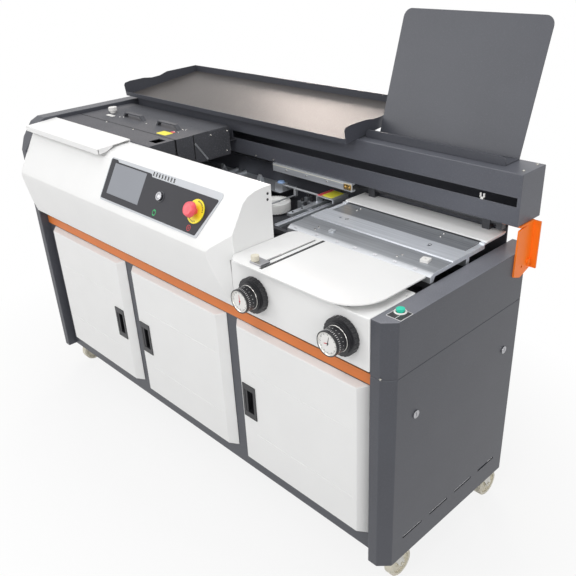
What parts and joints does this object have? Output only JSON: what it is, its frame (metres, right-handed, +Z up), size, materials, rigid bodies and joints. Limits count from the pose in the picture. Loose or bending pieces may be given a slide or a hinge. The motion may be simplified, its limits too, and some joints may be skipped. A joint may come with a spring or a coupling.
{
  "type": "perfect binding machine",
  "caption": "Floor-standing perfect binder on casters: doors below, clamp carriage, milling and glue head, slanted panel, cover table, tray and book board.",
  "frame": {"origin": "on the floor, under the middle of the whole machine", "axes": "+X towards the right-hand end with the two dial knobs' table, +Y from the doors to the back, +Z up"},
  "size_m": [1.56, 0.7551, 1.2318],
  "materials": {
    "dark_paint": "fine-textured powder coat, dark grey",
    "white_paint": "satin powder coat, white",
    "orange_paint": "satin powder coat, orange",
    "black_plastic": "fine matte",
    "screen_glass": "gloss",
    "yellow_plastic": "satin",
    "red_plastic": "satin",
    "green_plastic": "gloss",
    "aluminium": "brushed and anodised",
    "bright_steel": "ground",
    "chrome": "zinc plated and bright",
    "pale_plastic": "moulded",
    "cream_tyre": "moulded nylon"
  },
  "bodies": {
    "cabinet": {"base_frame": "dark_paint", "left_side_frame": "dark_paint", "right_lower_panel": "dark_paint", "right_upper_frame": "dark_paint", "front_frame": "dark_paint", "trim_strip": "orange_paint", "rear_panel": "dark_paint", "inner_deck": "bright_steel", "hood": "white_paint", "hood_flap": "white_paint", "control_panel": "black_plastic", "touch_screen": "screen_glass", "e_stop_ring": "yellow_plastic", "knob_box": "white_paint", "cover_table": "white_paint", "rear_beam": "dark_paint", "beam_bracket": "orange_paint", "book_board": "dark_paint", "tray": "dark_paint", "head_cover": "dark_paint", "glue_tank": "bright_steel", "milling_motor": "black_plastic", "bay_floor": "bright_steel", "rear_deck": "dark_paint", "guide_rods": "bright_steel", "cross_bars": "aluminium", "pleated_guard": "black_plastic", "rail_strip": "aluminium", "sensor_bracket": "bright_steel", "carriage_rails": "bright_steel", "rear_forks": "chrome"},
    "left_door_leaf": {"left_door": "white_paint", "left_handle": "black_plastic"},
    "middle_door_leaf": {"middle_door": "white_paint", "middle_handle": "black_plastic"},
    "right_door_leaf": {"right_door": "white_paint", "right_handle": "black_plastic"},
    "carriage": {"front_jaw": "aluminium", "jaw_cover_strip": "white_paint"},
    "moving_jaw": {"rear_jaw": "aluminium"},
    "side_stop": {"table_stop": "bright_steel"},
    "stop_screw": {"stop_knob": "pale_plastic"},
    "left_dial": {"left_dial_knob": "black_plastic"},
    "right_dial": {"right_dial_knob": "black_plastic"},
    "e_stop": {"e_stop_button": "red_plastic"},
    "start": {"start_button": "bright_steel"},
    "green": {"green_button": "green_plastic"},
    "lid": {"head_lid": "dark_paint", "lid_handles": "dark_paint"},
    "lid_screw": {"lid_knob": "pale_plastic"},
    "roller": {"glue_roller": "bright_steel"},
    "disc": {"milling_disc": "pale_plastic"},
    "left_swivel": {"front_left_fork": "chrome"},
    "right_swivel": {"front_right_fork": "chrome"},
    "front_left_tyre": {"front_left_wheel": "cream_tyre"},
    "front_right_tyre": {"front_right_wheel": "cream_tyre"},
    "rear_left_tyre": {"rear_left_wheel": "cream_tyre"},
    "rear_right_tyre": {"rear_right_wheel": "cream_tyre"},
    "front_lock": {"front_side_lock": "bright_steel"},
    "rear_lock": {"rear_side_lock": "bright_steel"}
  },
  "joints": [
    {"name": "left_door_hinge", "type": "hinge", "parent": "cabinet", "child": "left_door_leaf", "pos_m": [-0.678, -0.2979, 0.363], "axis": [0, 0, -1], "range_deg": [0, 95]},
    {"name": "middle_door_hinge", "type": "hinge", "parent": "cabinet", "child": "middle_door_leaf", "pos_m": [0.226, -0.2979, 0.363], "axis": [0, 0, 1], "range_deg": [0, 95]},
    {"name": "right_door_hinge", "type": "hinge", "parent": "cabinet", "child": "right_door_leaf", "pos_m": [0.698, -0.2979, 0.363], "axis": [0, 0, 1], "range_deg": [0, 85]},
    {"name": "carriage_slide", "type": "slide", "parent": "cabinet", "child": "carriage", "axis": [-1, 0, 0], "range_m": [0, 0.99]},
    {"name": "jaw_slide", "type": "slide", "parent": "carriage", "child": "moving_jaw", "axis": [0, 1, 0], "range_m": [0, 0.055]},
    {"name": "stop_slide", "type": "slide", "parent": "cabinet", "child": "side_stop", "axis": [0, 1, 0], "range_m": [0, 0.12]},
    {"name": "stop_screw_turn", "type": "hinge", "parent": "side_stop", "child": "stop_screw", "pos_m": [0.385, -0.3235, 0.78], "axis": [0, 0, 1], "range_deg": [-180, 180]},
    {"name": "left_dial_turn", "type": "hinge", "parent": "cabinet", "child": "left_dial", "pos_m": [0.383, -0.3475, 0.692], "axis": [0, -1, 0], "continuous": true},
    {"name": "right_dial_turn", "type": "hinge", "parent": "cabinet", "child": "right_dial", "pos_m": [0.652, -0.3475, 0.692], "axis": [0, -1, 0], "continuous": true},
    {"name": "e_stop_push", "type": "slide", "parent": "cabinet", "child": "e_stop", "axis": [0, 0.859, -0.512], "range_m": [0, 0.005], "stiffness_N_per_m": 1500, "springref_m": -0.001},
    {"name": "start_push", "type": "slide", "parent": "cabinet", "child": "start", "axis": [0, 0.859, -0.512], "range_m": [0, 0.002], "stiffness_N_per_m": 900, "springref_m": -0.001},
    {"name": "green_push", "type": "slide", "parent": "cabinet", "child": "green", "axis": [0, 0, -1], "range_m": [0, 0.003], "stiffness_N_per_m": 900, "springref_m": -0.001},
    {"name": "lid_hinge", "type": "hinge", "parent": "cabinet", "child": "lid", "pos_m": [0, 0.0062, 0.9053], "axis": [-1, 0, 0], "range_deg": [0, 80]},
    {"name": "lid_screw_turn", "type": "hinge", "parent": "lid", "child": "lid_screw", "pos_m": [-0.636, -0.04, 0.915], "axis": [0, 0, 1], "range_deg": [-180, 180]},
    {"name": "roller_spin", "type": "hinge", "parent": "cabinet", "child": "roller", "pos_m": [-0.445, 0.0145, 0.714], "axis": [0, 1, 0], "continuous": true},
    {"name": "disc_spin", "type": "hinge", "parent": "cabinet", "child": "disc", "pos_m": [0.04, 0.0525, 0.715], "axis": [0, 0, 1], "continuous": true},
    {"name": "left_swivel_turn", "type": "hinge", "parent": "cabinet", "child": "left_swivel", "pos_m": [-0.735, -0.2605, 0.09], "axis": [0, 0, 1], "continuous": true},
    {"name": "right_swivel_turn", "type": "hinge", "parent": "cabinet", "child": "right_swivel", "pos_m": [0.735, -0.2605, 0.09], "axis": [0, 0, 1], "continuous": true},
    {"name": "front_left_wheel_spin", "type": "hinge", "parent": "left_swivel", "child": "front_left_tyre", "pos_m": [-0.735, -0.2325, 0.0375], "axis": [1, 0, 0], "continuous": true},
    {"name": "front_right_wheel_spin", "type": "hinge", "parent": "right_swivel", "child": "front_right_tyre", "pos_m": [0.735, -0.2325, 0.0375], "axis": [1, 0, 0], "continuous": true},
    {"name": "rear_left_wheel_spin", "type": "hinge", "parent": "cabinet", "child": "rear_left_tyre", "pos_m": [-0.735, 0.1515, 0.0375], "axis": [1, 0, 0], "continuous": true},
    {"name": "rear_right_wheel_spin", "type": "hinge", "parent": "cabinet", "child": "rear_right_tyre", "pos_m": [0.735, 0.1515, 0.0375], "axis": [1, 0, 0], "continuous": true},
    {"name": "front_lock_turn", "type": "hinge", "parent": "cabinet", "child": "front_lock", "pos_m": [0.77, -0.235, 0.5026], "axis": [1, 0, 0], "range_deg": [0, 90]},
    {"name": "rear_lock_turn", "type": "hinge", "parent": "cabinet", "child": "rear_lock", "pos_m": [0.77, 0.109, 0.5026], "axis": [1, 0, 0], "range_deg": [0, 90]}
  ]
}
